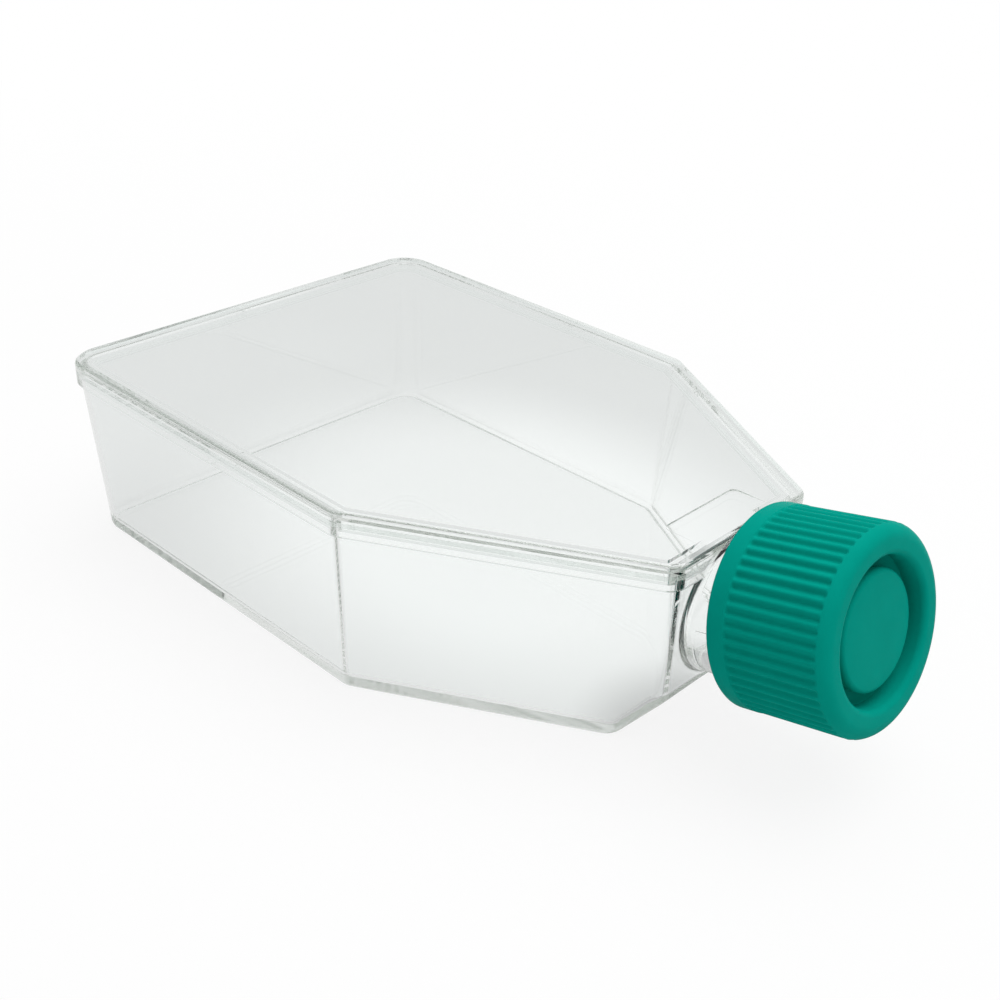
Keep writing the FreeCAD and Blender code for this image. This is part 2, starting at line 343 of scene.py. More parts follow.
def feed(tree, socket, value):
    """Links a socket to another node's output, or sets it to a number."""
    if isinstance(value, bpy.types.NodeSocket):
        tree.links.new(value, socket)
    else:
        socket.default_value = value


def calc(tree, operation, *values):
    """A maths node's result."""
    node = tree.nodes.new("ShaderNodeMath")
    node.operation = operation
    for socket, value in zip(node.inputs, values):
        feed(tree, socket, value)
    return node.outputs[0]


def finish_tree(tree, geometry, material, output):
    """Ends a tree in real geometry with its material."""
    real = tree.nodes.new("GeometryNodeRealizeInstances")
    tree.links.new(geometry, real.inputs[0])
    dress = tree.nodes.new("GeometryNodeSetMaterial")
    tree.links.new(real.outputs[0], dress.inputs["Geometry"])
    feed(tree, dress.inputs["Material"], material)
    tree.links.new(dress.outputs[0], output.inputs[0])


def rib_tree():
    """Presses the grip grooves into a plain turned cap that stands on Z."""
    tree, given, output = new_tree("Cap grip ribs", [
        ("Rib Count", "NodeSocketInt", 56),
        ("Groove Depth", "NodeSocketFloat", 0.5 * MM),
        ("Rib Relief", "NodeSocketFloat", 0.07 * MM),
        ("Groove Shape", "NodeSocketFloat", 1.15),
        ("Skirt Radius", "NodeSocketFloat", CAP_RADIUS),
        ("Groove Start", "NodeSocketFloat", 16.6 * MM),
        ("Groove Run-in", "NodeSocketFloat", 0.5 * MM),
        ("Groove End", "NodeSocketFloat", 1.3 * MM),
        ("Groove Run-out", "NodeSocketFloat", 0.9 * MM),
        ("Material", "NodeSocketMaterial", None),
    ])
    place = tree.nodes.new("GeometryNodeInputPosition")
    parts = tree.nodes.new("ShaderNodeSeparateXYZ")
    tree.links.new(place.outputs[0], parts.inputs[0])
    x, y, z = parts.outputs
    around = calc(tree, "ARCTAN2", y, x)
    squares = calc(tree, "ADD", calc(tree, "MULTIPLY", x, x), calc(tree, "MULTIPLY", y, y))
    out = calc(tree, "SQRT", squares)
    wave = calc(tree, "COSINE", calc(tree, "MULTIPLY", around, given.outputs["Rib Count"]))
    groove = calc(tree, "MULTIPLY_ADD", wave, -0.5, 0.5)
    groove = calc(tree, "POWER", groove, given.outputs["Groove Shape"])
    from_start = calc(tree, "ADD", z, given.outputs["Groove Start"])
    from_end = calc(tree, "SUBTRACT", calc(tree, "MULTIPLY", z, -1.0), given.outputs["Groove End"])
    depth = calc(tree, "MULTIPLY", groove, given.outputs["Groove Depth"])
    for distance, run in ((from_start, "Groove Run-in"), (from_end, "Groove Run-out")):
        share = calc(tree, "DIVIDE", distance, given.outputs[run])
        share = calc(tree, "MAXIMUM", calc(tree, "MINIMUM", share, 1.0), 0.0)
        soft = calc(tree, "SINE", calc(tree, "MULTIPLY", share, math.pi / 2))
        depth = calc(tree, "MULTIPLY", depth, soft)
    crest = calc(tree, "SUBTRACT", given.outputs["Skirt Radius"], given.outputs["Rib Relief"])
    pressed = calc(tree, "MINIMUM", out, calc(tree, "SUBTRACT", crest, depth))
    on_axis = 0.001 * MM
    scale = calc(tree, "DIVIDE", pressed, calc(tree, "MAXIMUM", out, on_axis))
    join = tree.nodes.new("ShaderNodeCombineXYZ")
    tree.links.new(calc(tree, "MULTIPLY", x, scale), join.inputs[0])
    tree.links.new(calc(tree, "MULTIPLY", y, scale), join.inputs[1])
    tree.links.new(z, join.inputs[2])
    ahead = calc(tree, "GREATER_THAN", z, calc(tree, "MULTIPLY", given.outputs["Groove Start"], -1.0))
    press = tree.nodes.new("GeometryNodeSetPosition")
    tree.links.new(given.outputs["Geometry"], press.inputs["Geometry"])
    tree.links.new(ahead, press.inputs["Selection"])
    tree.links.new(join.outputs[0], press.inputs["Position"])
    finish_tree(tree, press.outputs[0], given.outputs["Material"], output)
    return tree


def thread_tree():
    """A rounded thread ridge that winds up the Z axis and runs out at both ends."""
    tip_size = 0.12
    run_out = 2.6
    ridge_sides = 14
    tree, given, output = new_tree("Screw thread", [
        ("Radius", "NodeSocketFloat", 12.2 * MM),
        ("Pitch", "NodeSocketFloat", 4.0 * MM),
        ("Turns", "NodeSocketFloat", 1.5),
        ("Ridge Radius", "NodeSocketFloat", 0.9 * MM),
        ("Lowest Point", "NodeSocketFloat", -13.0 * MM),
        ("First Angle", "NodeSocketFloat", 0.0),
        ("Steps Per Thread", "NodeSocketInt", 96),
        ("Material", "NodeSocketMaterial", None),
    ])
    start = tree.nodes.new("GeometryNodeCurvePrimitiveLine")
    points = tree.nodes.new("GeometryNodeResampleCurve")
    tree.links.new(start.outputs[0], points.inputs["Curve"])
    tree.links.new(given.outputs["Steps Per Thread"], points.inputs["Count"])
    along = tree.nodes.new("GeometryNodeSplineParameter").outputs["Factor"]
    turned = calc(tree, "MULTIPLY", along, given.outputs["Turns"])
    angle = calc(tree, "MULTIPLY_ADD", turned, 2 * math.pi, given.outputs["First Angle"])
    join = tree.nodes.new("ShaderNodeCombineXYZ")
    for place, part in enumerate(("COSINE", "SINE")):
        across = calc(tree, "MULTIPLY", calc(tree, part, angle), given.outputs["Radius"])
        tree.links.new(across, join.inputs[place])
    rise = calc(tree, "MULTIPLY_ADD", turned, given.outputs["Pitch"], given.outputs["Lowest Point"])
    tree.links.new(rise, join.inputs[2])
    wind = tree.nodes.new("GeometryNodeSetPosition")
    tree.links.new(points.outputs[0], wind.inputs["Geometry"])
    tree.links.new(join.outputs[0], wind.inputs["Position"])
    ends = calc(tree, "SINE", calc(tree, "MULTIPLY", along, math.pi))
    size = calc(tree, "MINIMUM", calc(tree, "MULTIPLY_ADD", ends, run_out, tip_size), 1.0)
    profile = tree.nodes.new("GeometryNodeCurvePrimitiveCircle")
    profile.inputs["Resolution"].default_value = ridge_sides
    tree.links.new(given.outputs["Ridge Radius"], profile.inputs["Radius"])
    body = tree.nodes.new("GeometryNodeCurveToMesh")
    tree.links.new(wind.outputs[0], body.inputs["Curve"])
    tree.links.new(profile.outputs[0], body.inputs["Profile Curve"])
    tree.links.new(size, body.inputs["Scale"])
    body.inputs["Fill Caps"].default_value = True
    finish_tree(tree, body.outputs[0], given.outputs["Material"], output)
    return tree


def grow(piece, tree, values):
    """Runs a node tree on the piece and turns the result into its mesh."""
    nodes = piece.modifiers.new(tree.name, "NODES")
    nodes.node_group = tree
    for item in tree.interface.items_tree:
        if item.item_type == "SOCKET" and item.in_out == "INPUT" and item.name in values:
            nodes[item.identifier] = values[item.name]
    return settle(piece)


def thread(radius, lowest, first_angle, material):
    """One thread on the neck axis, as its own object."""
    sizes = bpy.context.scene.flask_thread
    piece = show("thread", bpy.data.meshes.new("thread"))
    grow(piece, thread_tree(), {
        "Radius": radius,
        "Pitch": sizes.pitch,
        "Turns": sizes.turns,
        "Ridge Radius": sizes.ridge,
        "Lowest Point": lowest,
        "First Angle": first_angle,
        "Material": material,
    })
    piece.data.transform(cap_place())
    return piece


# --- materials ---
def material_of(name):
    """A new material with its node tree and its shader."""
    material = bpy.data.materials.new(name)
    material.use_nodes = True
    tree = material.node_tree
    return material, tree, tree.nodes["Principled BSDF"]


def pattern(tree, scale, detail, roughness=0.5):
    """Noise that stays with the piece."""
    place = tree.nodes.new("ShaderNodeTexCoord")
    noise = tree.nodes.new("ShaderNodeTexNoise")
    noise.inputs["Scale"].default_value = scale
    noise.inputs["Detail"].default_value = detail
    noise.inputs["Roughness"].default_value = roughness
    tree.links.new(place.outputs["Object"], noise.inputs["Vector"])
    return noise.outputs["Fac"]


def between(tree, value, low, high):
    """Spreads a pattern, which mostly stays between 0.3 and 0.7, between two values."""
    node = tree.nodes.new("ShaderNodeMapRange")
    node.inputs["From Min"].default_value = 0.3
    node.inputs["From Max"].default_value = 0.7
    node.inputs["To Min"].default_value = low
    node.inputs["To Max"].default_value = high
    tree.links.new(value, node.inputs["Value"])
    return node.outputs["Result"]


def raise_surface(tree, shader, height, strength, distance):
    """Lets a pattern lift the surface a little."""
    bump = tree.nodes.new("ShaderNodeBump")
    bump.inputs["Strength"].default_value = strength
    bump.inputs["Distance"].default_value = distance
    tree.links.new(height, bump.inputs["Height"])
    tree.links.new(bump.outputs["Normal"], shader.inputs["Normal"])


def clear_styrene(name):
    """Clear moulded polystyrene: polished with a faint uneven haze, and tinted in depth."""
    body = bpy.context.scene.flask_body
    material, tree, shader = material_of(name)
    shader.inputs["Base Color"].default_value = (0.98, 0.996, 0.99, 1.0)
    shader.inputs["Transmission Weight"].default_value = 1.0
    shader.inputs["IOR"].default_value = body.refraction
    haze = between(tree, pattern(tree, scale=90.0, detail=4.0), low=0.0, high=0.035)
    tree.links.new(haze, shader.inputs["Roughness"])
    depth = tree.nodes.new("ShaderNodeVolumeAbsorption")
    depth.inputs["Color"].default_value = (*body.tint, 1.0)
    depth.inputs["Density"].default_value = body.tint_density
    tree.links.new(depth.outputs[0], tree.nodes["Material Output"].inputs["Volume"])
    return material


def green_polyethylene():
    """Satin green polyethylene with a fine moulded grain."""
    cap = bpy.context.scene.flask_cap
    material, tree, shader = material_of("green_polyethylene")
    mix = tree.nodes.new("ShaderNodeMix")
    mix.data_type = "RGBA"
    darker, lighter = 0.93, 1.06
    mix.inputs["A"].default_value = (*(c * darker for c in cap.colour), 1.0)
    mix.inputs["B"].default_value = (*(min(1.0, c * lighter) for c in cap.colour), 1.0)
    tree.links.new(pattern(tree, scale=260.0, detail=3.0), mix.inputs["Factor"])
    tree.links.new(mix.outputs["Result"], shader.inputs["Base Color"])
    satin = between(tree, pattern(tree, scale=900.0, detail=3.0), low=0.34, high=0.46)
    tree.links.new(satin, shader.inputs["Roughness"])
    shader.inputs["IOR"].default_value = 1.5
    shader.inputs["Specular IOR Level"].default_value = 0.006
    shader.inputs["Specular Tint"].default_value = (0.1, 1.0, 0.9, 1.0)
    grain = pattern(tree, scale=3200.0, detail=2.0)
    raise_surface(tree, shader, grain, strength=0.25, distance=0.04 * MM)
    return material


def white_felt():
    """White filter membrane with a matted fibre surface."""
    material, tree, shader = material_of("white_felt")
    mix = tree.nodes.new("ShaderNodeMix")
    mix.data_type = "RGBA"
    mix.inputs["A"].default_value = (0.80, 0.80, 0.79, 1.0)
    mix.inputs["B"].default_value = (0.92, 0.92, 0.91, 1.0)
    fibres = pattern(tree, scale=2500.0, detail=5.0, roughness=0.7)
    tree.links.new(fibres, mix.inputs["Factor"])
    tree.links.new(mix.outputs["Result"], shader.inputs["Base Color"])
    matt = between(tree, pattern(tree, scale=1500.0, detail=3.0), low=0.85, high=1.0)
    tree.links.new(matt, shader.inputs["Roughness"])
    raise_surface(tree, shader, fibres, strength=0.6, distance=0.05 * MM)
    return material


# --- pieces ---
def make_tray():
    """The clear tray with its threaded neck."""
    sizes = bpy.context.scene.flask_thread
    material = clear_styrene("clear_tray")
    shape = merged_shape("flask_tray")
    neck_walls = (sizes.neck_radius, sizes.bore_radius)
    refine_round(shape, neck_walls, first=4.0 * MM, last=25.0 * MM)
    tray = show("tray", mesh_of("tray", shape))
    tray.data.materials.append(material)
    end = sizes.neck_start + sizes.pitch * sizes.turns
    ridge = thread(sizes.neck_radius, -end, 0.0, material)
    combine(tray, ridge, "UNION")
    combine(tray, parting_line(material), "UNION")
    shade(tray, CLEAR_CREASE)
    true_rounds(tray)
    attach(tray, "flask")
    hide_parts("flask_tray")
    return tray


def upright_walls(mesh, hand):
    """Heading, outward normal and reach of each drafted wall: outer faces for 1, inner ones for -1."""
    found = []
    for heading in WALL_HEADINGS:
        largest = None
        for face in mesh.polygons:
            normal = face.normal * hand
            leans = LEAST_LEAN < -normal.z < MOST_LEAN
            if leans and (largest is None or face.area > largest.area):
                turned = math.degrees(math.atan2(normal.y, normal.x)) - heading
                if abs((turned + 180.0) % 360.0 - 180.0) < HEADING_SLACK:
                    largest = face
        normal = largest.normal * hand
        found.append((heading, normal, normal.dot(largest.center)))
    return found


def round_normal(point, before, after, radius):
    """Outward normal at a point on the round between two walls, or None for a point elsewhere."""
    off_round = 0.06 * MM
    past_end = 1.02
    heading_a, a, reach_a = before
    heading_b, b, reach_b = after
    flat_a = math.hypot(a.x, a.y)
    flat_b = math.hypot(b.x, b.y)
    cross = (a.x * b.y - a.y * b.x) / (flat_a * flat_b)
    to_a = (reach_a - a.z * point.z) / flat_a - radius
    to_b = (reach_b - b.z * point.z) / flat_b - radius
    arm_x = point.x - (to_a * b.y / flat_b - to_b * a.y / flat_a) / cross
    arm_y = point.y - (to_b * a.x / flat_a - to_a * b.x / flat_b) / cross
    heading = math.degrees(math.atan2(arm_y, arm_x))
    share = (heading - heading_a) % 360.0 / ((heading_b - heading_a) % 360.0)
    if abs(math.hypot(arm_x, arm_y) - radius) > off_round or share > past_end:
        return None
    lean = a.z + (b.z - a.z) * share
    out = Vector((arm_x, arm_y, 0.0)).normalized() + Vector((0.0, 0.0, lean))
    return out.normalized()


def true_rounds(tray):
    """Gives the upright corner rounds of the tray the normals of true rounds."""
    body = bpy.context.scene.flask_body
    mesh = tray.data
    above_foot = 2.0 * MM
    below_rim = body.seam_height + 0.1 * MM
    alike = 0.94
    normals = [corner.vector.copy() for corner in mesh.corner_normals]
    upright = [point for point in mesh.vertices if above_foot < point.co.z < below_rim]
    for hand in (1, -1):
        walls = upright_walls(mesh, hand)
        true = {}
        for before, after in zip(walls[-1:] + walls, walls):
            at_rear = REAR_HEADING in (before[0], after[0])
            radius = body.rear_round if at_rear else body.corner_round
            if hand < 0:
                radius -= body.wall
            for point in upright:
                out = round_normal(point.co, before, after, radius)
                if out is not None:
                    true[point.index] = out * hand
        for corner in mesh.loops:
            wanted = true.get(corner.vertex_index)
            if wanted is not None and wanted.dot(normals[corner.index]) > alike:
                normals[corner.index] = wanted
    mesh.normals_split_custom_set(normals)


def parting_line(material):
    """Fine raised line along both sides of the neck, where the halves of the mould met."""
    sizes = bpy.context.scene.flask_thread
    shape = bmesh.new()
    half = 0.07 * MM
    length = 16.0 * MM
    middle = 16.2 * MM
    for hand in (-1, 1):
        out = sizes.neck_radius * hand
        made = bmesh.ops.create_cone(
            shape, cap_ends=True, segments=8, radius1=half, radius2=half, depth=length)
        bmesh.ops.translate(shape, verts=made["verts"], vec=(0.0, out, -middle))
    line = show("parting_line", mesh_of("parting_line", shape))
    line.data.materials.append(material)
    line.data.transform(cap_place())
    return line


def make_plate():
    """The clear lid plate, sunk a hair into the flange it is welded to."""
    body = bpy.context.scene.flask_body
    shape = merged_shape("top_plate")
    on_seam = 0.005 * MM
    for point in shape.verts:
        if abs(point.co.z - body.seam_height) < on_seam:
            point.co.z -= body.weld_overlap
    plate = show("lid", mesh_of("lid", shape))
    plate.data.materials.append(clear_styrene("clear_plate"))
    shade(plate, CLEAR_CREASE)
    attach(plate, "flask")
    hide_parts("top_plate")
    return plate


def bend(centre_back, centre_out, radius, first, last, steps):
    """Points of a round in the cap's section, from one angle to another."""
    found = []
    for i in range(steps + 1):
        angle = math.radians(first + (last - first) * i / steps)
        found.append((centre_back - radius * math.sin(angle), centre_out + radius * math.cos(angle)))
    return found


def cap_section():
    """Section of the cap as (distance behind the front, distance from the axis), front centre first."""
    cap = bpy.context.scene.flask_cap
    radius = CAP_RADIUS
    disc_front = 1.34 * MM
    disc_middle = 4.0 * MM
    disc_round = 0.8 * MM
    moat = 11.2 * MM
    moat_corner = 0.05 * MM
    moat_lip = 1.0 * MM
    rear_round = 0.35 * MM
    mouth_round = 0.3 * MM
    deck = 4.8 * MM
    seat_back = 4.4 * MM
    seat_out = 10.98 * MM
    seat_in = 8.0 * MM
    before_band = 0.01 * MM
    after_band = 0.06 * MM
    skirt_steps = 10
    run_steps = 5

    start = cap.length - cap.rear_band
    front = cap.shoulder
    points = [(disc_front, 0.0), (disc_front, disc_middle)]
    points += bend(disc_front + disc_round, POST_RADIUS - disc_round, disc_round, 90, 0, 6)
    points += [(MOAT_FLOOR - moat_corner, POST_RADIUS), (MOAT_FLOOR, POST_RADIUS + moat_corner)]
    points += [(MOAT_FLOOR, moat - moat_corner), (MOAT_FLOOR - moat_corner, moat)]
    points += bend(moat_lip, moat + moat_lip, moat_lip, 180, 90, 8)
    points += bend(front, radius - front, front, 90, 0, 28)
    points += [(front + (start - front) * i / skirt_steps, radius) for i in range(1, skirt_steps)]
    points += [(start - cap.run_in * i / run_steps, radius) for i in range(run_steps, 0, -1)]
    points += [(start - before_band, radius), (start + after_band, radius)]
    points += bend(cap.length - rear_round, radius - rear_round, rear_round, 0, -90, 5)
    points += bend(cap.length - mouth_round, cap.bore + mouth_round, mouth_round, -90, -180, 3)
    points += [(deck, cap.bore), (deck, seat_out), (seat_back, seat_out), (seat_back, seat_in)]
    points += [(DISC_BACK, seat_in), (DISC_BACK, 0.0)]
    return points


def turned_mesh(name, section, columns):
    """Closed mesh turned round Z from a section whose ends lie on the axis."""
    same_place = 0.0001 * MM
    shape = bmesh.new()
    rings = []
    for back, out in section:
        if out < same_place:
            rings.append([shape.verts.new((0.0, 0.0, -back))])
            continue
        ring = []
        for i in range(columns):
            angle = 2 * math.pi * i / columns
            ring.append(shape.verts.new((out * math.cos(angle), out * math.sin(angle), -back)))
        rings.append(ring)
    for here, there in zip(rings, rings[1:]):
        for i in range(columns):
            j = (i + 1) % columns
            if len(here) == 1:
                shape.faces.new((here[0], there[i], there[j]))
            elif len(there) == 1:
                shape.faces.new((here[i], there[0], here[j]))
            else:
                shape.faces.new((here[i], there[i], there[j], here[j]))
    bmesh.ops.remove_doubles(shape, verts=shape.verts, dist=same_place)
    bmesh.ops.recalc_face_normals(shape, faces=shape.faces)
    return mesh_of(name, shape)


def vent_cutter():
    """The openings behind the disc, between the webs that carry it."""
    shape = bmesh.new()
    webs, steps = 6, 14
    web_half = 1.2 * MM
    inner, outer = 7.8 * MM, 9.3 * MM
    corners = ((inner, DISC_BACK), (outer, DISC_BACK), (outer, MOAT_FLOOR), (inner, MOAT_FLOOR))
    for k in range(webs):
        middle = 2 * math.pi * (k + 0.5) / webs
        reach = math.pi / webs - math.asin(web_half / POST_RADIUS)
        columns = []
        for i in range(steps + 1):
            angle = middle + reach * (2 * i / steps - 1)
            ring = []
            for out, depth in corners:
                ring.append(shape.verts.new((out * math.cos(angle), out * math.sin(angle), -depth)))
            columns.append(ring)
        shape.faces.new(columns[0])
        shape.faces.new(columns[-1])
        for here, there in zip(columns, columns[1:]):
            for i in range(4):
                shape.faces.new((here[i], here[(i + 1) % 4], there[(i + 1) % 4], there[i]))
    bmesh.ops.recalc_face_normals(shape, faces=shape.faces)
    return show("vents", mesh_of("vents", shape))


def make_cap():
    """The green screw cap, with its ribs, moat, disc, vents and inner thread."""
    cap = bpy.context.scene.flask_cap
    sizes = bpy.context.scene.flask_thread
    material = green_polyethylene()
    steps_per_rib = 12
    piece = show("cap", turned_mesh("cap", cap_section(), cap.rib_count * steps_per_rib))
    grow(piece, rib_tree(), {
        "Rib Count": cap.rib_count,
        "Groove Depth": cap.groove_depth,
        "Rib Relief": cap.rib_relief,
        "Groove Shape": cap.groove_shape,
        "Skirt Radius": CAP_RADIUS,
        "Groove Start": cap.length - cap.rear_band,
        "Groove Run-in": cap.run_in,
        "Groove End": cap.groove_end,
        "Groove Run-out": cap.run_out,
        "Material": material,
    })
    combine(piece, vent_cutter(), "DIFFERENCE")
    piece.data.transform(cap_place())
    sunk = 0.1 * MM
    lowest = -(sizes.neck_start + sizes.pitch * sizes.turns + sizes.pitch / 2)
    ridge = thread(cap.bore + sunk, lowest, 0.0, material)
    combine(piece, ridge, "UNION")
    shade(piece, SATIN_CREASE)
    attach(piece, "cap")
    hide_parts("screw_cap")
    return piece


def make_membrane():
    """The round filter membrane under the deck of the cap."""
    piece = show("membrane", mesh_of("membrane", merged_shape("vent_membrane")))
    piece.data.materials.append(white_felt())
    shade(piece, SATIN_CREASE)
    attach(piece, "vent_disc")
    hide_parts("vent_membrane")
    return piece


# --- stage ---
def faded(tree, centre, spread, near, far):
    """One around a place on the floor, fading to nothing between near and far shares of the spread."""
    place = tree.nodes.new("ShaderNodeTexCoord")
    arm = tree.nodes.new("ShaderNodeVectorMath")
    arm.operation = "SUBTRACT"
    arm.inputs[1].default_value = (*centre, 0.0)
    tree.links.new(place.outputs["Object"], arm.inputs[0])
    shrunk = tree.nodes.new("ShaderNodeVectorMath")
    shrunk.operation = "DIVIDE"
    shrunk.inputs[1].default_value = (*spread, 1.0)
    tree.links.new(arm.outputs["Vector"], shrunk.inputs[0])
    length = tree.nodes.new("ShaderNodeVectorMath")
    length.operation = "LENGTH"
    tree.links.new(shrunk.outputs["Vector"], length.inputs[0])
    fade = tree.nodes.new("ShaderNodeMapRange")
    fade.interpolation_type = "SMOOTHSTEP"
    fade.inputs["From Min"].default_value = near
    fade.inputs["From Max"].default_value = far
    fade.inputs["To Min"].default_value = 1.0
    fade.inputs["To Max"].default_value = 0.0
    tree.links.new(length.outputs["Value"], fade.inputs["Value"])
    return fade.outputs["Result"]


def make_floor():
    """A pale floor with a soft share of the flask's shadow, with painted light and shade where the clear
    plastic shows it.
    """
    stage = bpy.context.scene.flask_stage
    floor_radius = 4.0
    shape = bmesh.new()
    bmesh.ops.create_circle(shape, cap_ends=True, segments=64, radius=floor_radius)
    bmesh.ops.translate(shape, verts=shape.verts, vec=(0.0, 0.0, -stage.floor_drop))
    floor = show("floor", mesh_of("floor", shape))
    material, tree, shader = material_of("pale_floor")
    shader.inputs["Base Color"].default_value = (*stage.floor_colour, 1.0)
    shader.inputs["Roughness"].default_value = 0.9
    shader.inputs["Specular IOR Level"].default_value = 0.0
    glow = tree.nodes.new("ShaderNodeEmission")
    blend = tree.nodes.new("ShaderNodeMixShader")
    path = tree.nodes.new("ShaderNodeLightPath")
    # painted pool of light on the floor under the flask, darker towards its edges, seen only by rays
    # through the clear plastic
    pool = faded(tree, centre=(0.0, 13.0 * MM), spread=(71.0 * MM, 54.0 * MM), near=0.43, far=1.2)
    painted_floor_tone = calc(tree, "MULTIPLY_ADD", pool, stage.painted_pool_tone - stage.painted_edge_tone, stage.painted_edge_tone - 1.0)
    # painted shade on the floor under the neck and ramp, seen only through the clear plastic
    neck_foot = (62.0 * MM, -8.0 * MM)
    painted_neck_shade_mask = faded(tree, centre=neck_foot, spread=(20.0 * MM, 20.0 * MM), near=0.3, far=1.0)
    painted_floor_tone = calc(tree, "MULTIPLY_ADD", painted_neck_shade_mask, -stage.neck_shade, painted_floor_tone)
    painted_floor_tone = calc(tree, "MULTIPLY_ADD", path.outputs["Is Transmission Ray"], painted_floor_tone, 1.0)
    # painted shadow on the floor under the cap, seen only in reflections
    mirrored = calc(tree, "SUBTRACT", path.outputs["Is Glossy Ray"], path.outputs["Is Transmission Ray"])
    mirrored = calc(tree, "MAXIMUM", mirrored, 0.0)
    cap_foot = (80.0 * MM, 5.0 * MM)
    painted_cap_shade_mask = faded(tree, centre=cap_foot, spread=(34.0 * MM, 28.0 * MM), near=0.4, far=1.0)
    shaded = calc(tree, "MULTIPLY", calc(tree, "MULTIPLY", mirrored, painted_cap_shade_mask), stage.cap_shade)
    painted_floor_tone = calc(tree, "SUBTRACT", painted_floor_tone, shaded)
    tree.links.new(painted_floor_tone, glow.inputs["Strength"])
    seen = calc(tree, "MAXIMUM", path.outputs["Is Camera Ray"], path.outputs["Is Glossy Ray"])
    seen = calc(tree, "MAXIMUM", seen, path.outputs["Is Transmission Ray"])
    reach = (stage.shadow_reach, stage.shadow_reach)
    close = faded(tree, centre=(0.0, 0.0), spread=reach, near=0.3, far=1.0)
    lit = calc(tree, "MULTIPLY_ADD", close, -stage.shadow_share, 1.0)
    tree.links.new(calc(tree, "MULTIPLY", seen, lit), blend.inputs[0])
    tree.links.new(shader.outputs[0], blend.inputs[1])
    tree.links.new(glow.outputs[0], blend.inputs[2])
    tree.links.new(blend.outputs[0], tree.nodes["Material Output"].inputs["Surface"])
    floor.data.materials.append(material)
    return floor


def make_room():
    """Soft light from the room, brightest overhead, which the clear plastic shows whiter."""
    stage = bpy.context.scene.flask_stage
    world = bpy.data.worlds.new("room")
    bpy.context.scene.world = world
    world.use_nodes = True
    tree = world.node_tree
    back = tree.nodes["Background"]
    place = tree.nodes.new("ShaderNodeTexCoord")
    parts = tree.nodes.new("ShaderNodeSeparateXYZ")
    tree.links.new(place.outputs["Generated"], parts.inputs[0])
    ramp = tree.nodes.new("ShaderNodeValToRGB")
    ramp.color_ramp.elements[0].position = 0.0
    ramp.color_ramp.elements[0].color = (0.55, 0.55, 0.55, 1.0)
    ramp.color_ramp.elements[1].position = 1.0
    ramp.color_ramp.elements[1].color = (1.0, 1.0, 1.0, 1.0)
    for where, grey in ((0.15, 0.5), (0.5, 0.55), (0.8, 0.9)):
        step = ramp.color_ramp.elements.new(where)
        step.color = (grey, grey, grey, 1.0)
    tree.links.new(parts.outputs[2], ramp.inputs[0])
    tree.links.new(ramp.outputs[0], back.inputs["Color"])
    back.inputs["Strength"].default_value = stage.sky_strength
    white = tree.nodes.new("ShaderNodeBackground")
    path = tree.nodes.new("ShaderNodeLightPath")
    blend = tree.nodes.new("ShaderNodeMixShader")
    sharp = calc(tree, "MAXIMUM", path.outputs["Is Glossy Ray"], path.outputs["Is Transmission Ray"])
    sharp = calc(tree, "MULTIPLY", sharp, stage.clear_share)
    tree.links.new(calc(tree, "MAXIMUM", path.outputs["Is Camera Ray"], sharp), blend.inputs[0])
    tree.links.new(back.outputs[0], blend.inputs[1])
    tree.links.new(white.outputs[0], blend.inputs[2])
    white.inputs["Color"].default_value = (1.0, 1.0, 1.0, 1.0)
    tree.links.new(blend.outputs[0], tree.nodes["World Output"].inputs["Surface"])


def make_lamps():
    """One large soft light overhead."""
    stage = bpy.context.scene.flask_stage
    data = bpy.data.lights.new("softbox", "AREA")
    data.shape = "RECTANGLE"
    data.size = 1.4
    data.size_y = 1.0
    data.energy = stage.key_power
    lamp = bpy.data.objects.new("softbox", data)
    lamp.location = SOFTBOX_PLACE
    aim = SOFTBOX_AIM - SOFTBOX_PLACE
    lamp.rotation_euler = aim.to_track_quat("-Z", "Y").to_euler()
    lamp.visible_transmission = False
    bpy.context.scene.collection.objects.link(lamp)


def make_camera():
    """The camera, high at the front left of the neck."""
    data = bpy.data.cameras.new("camera")
    data.lens = bpy.context.scene.flask_stage.lens
    data.sensor_width = 36.0
    data.shift_x = -0.0296
    data.shift_y = -0.0238
    data.clip_start = 0.01
    camera = bpy.data.objects.new("camera", data)
    ahead = CAMERA_AHEAD.normalized()
    top = CAMERA_RIGHT.normalized().cross(ahead).normalized()
    right = ahead.cross(top).normalized()
    turned = Matrix((right, top, -ahead)).transposed().to_4x4()
    camera.matrix_world = Matrix.Translation(CAMERA_PLACE) @ turned
    bpy.context.scene.collection.objects.link(camera)
    bpy.context.scene.camera = camera


# --- operators ---
class FLASK_OT_make_tray(bpy.types.Operator):
    """Make the clear tray with its threaded neck"""
    bl_idname = "flask.make_tray"
    bl_label = "Make Tray"

    def execute(self, context):
        make_tray()
        return {"FINISHED"}


class FLASK_OT_make_lid(bpy.types.Operator):
    """Make the clear lid plate"""
    bl_idname = "flask.make_lid"
    bl_label = "Make Lid Plate"

    def execute(self, context):
        make_plate()
        return {"FINISHED"}


class FLASK_OT_make_cap(bpy.types.Operator):
    """Make the green screw cap"""
    bl_idname = "flask.make_cap"
    bl_label = "Make Screw Cap"

    def execute(self, context):
        make_cap()
        return {"FINISHED"}


class FLASK_OT_make_membrane(bpy.types.Operator):
    """Make the filter membrane inside the cap"""
    bl_idname = "flask.make_membrane"
    bl_label = "Make Vent Membrane"

    def execute(self, context):
        make_membrane()
        return {"FINISHED"}


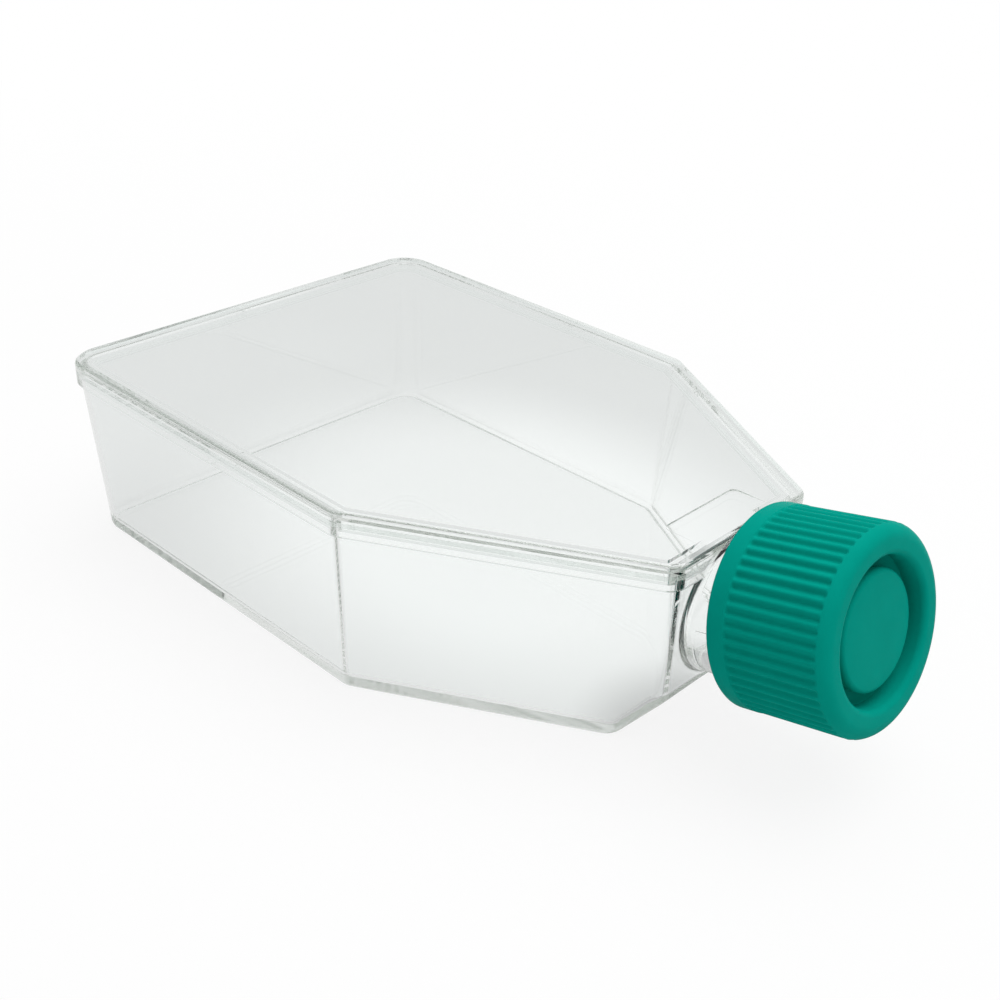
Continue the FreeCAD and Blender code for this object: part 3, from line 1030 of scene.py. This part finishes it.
class FLASK_OT_make_stage(bpy.types.Operator):
    """Make the floor, the lights and the camera"""
    bl_idname = "flask.make_stage"
    bl_label = "Make Stage"

    def execute(self, context):
        context.scene.view_settings.view_transform = "Standard"
        context.scene.cycles.max_bounces = LIGHT_BOUNCES
        context.scene.cycles.glossy_bounces = LIGHT_BOUNCES
        context.scene.cycles.transmission_bounces = LIGHT_BOUNCES
        make_floor()
        make_room()
        make_lamps()
        make_camera()
        return {"FINISHED"}


class FLASK_PT_parts(bpy.types.Panel):
    """Lists the flask's pieces and their settings"""
    bl_idname = "FLASK_PT_parts"
    bl_label = "Cell Culture Flask"
    bl_space_type = "VIEW_3D"
    bl_region_type = "UI"
    bl_category = "Flask"

    def draw(self, context):
        layout = self.layout
        for step in STEPS:
            layout.operator(step.bl_idname)
        for settings in SETTINGS:
            group = getattr(context.scene, settings)
            box = layout.box()
            for name in group.bl_rna.properties.keys():
                if name not in ("rna_type", "name"):
                    box.prop(group, name)


STEPS = (
    FLASK_OT_make_tray,
    FLASK_OT_make_lid,
    FLASK_OT_make_cap,
    FLASK_OT_make_membrane,
    FLASK_OT_make_stage,
)
SETTINGS = {
    "flask_body": FlaskBodySettings,
    "flask_thread": FlaskThreadSettings,
    "flask_cap": FlaskCapSettings,
    "flask_stage": FlaskStageSettings,
}


def register():
    """Adds the settings, the operators and the panel."""
    for name, group in SETTINGS.items():
        bpy.utils.register_class(group)
        setattr(bpy.types.Scene, name, PointerProperty(type=group))
    for step in STEPS:
        bpy.utils.register_class(step)
    bpy.utils.register_class(FLASK_PT_parts)


def unregister():
    """Takes them away again."""
    bpy.utils.unregister_class(FLASK_PT_parts)
    for step in reversed(STEPS):
        bpy.utils.unregister_class(step)
    for name, group in reversed(list(SETTINGS.items())):
        delattr(bpy.types.Scene, name)
        bpy.utils.unregister_class(group)


def main():
    """Makes every piece and the stage."""
    register()
    bpy.ops.flask.make_tray()
    bpy.ops.flask.make_lid()
    bpy.ops.flask.make_cap()
    bpy.ops.flask.make_membrane()
    bpy.ops.flask.make_stage()


if __name__ == "__main__":
    main()
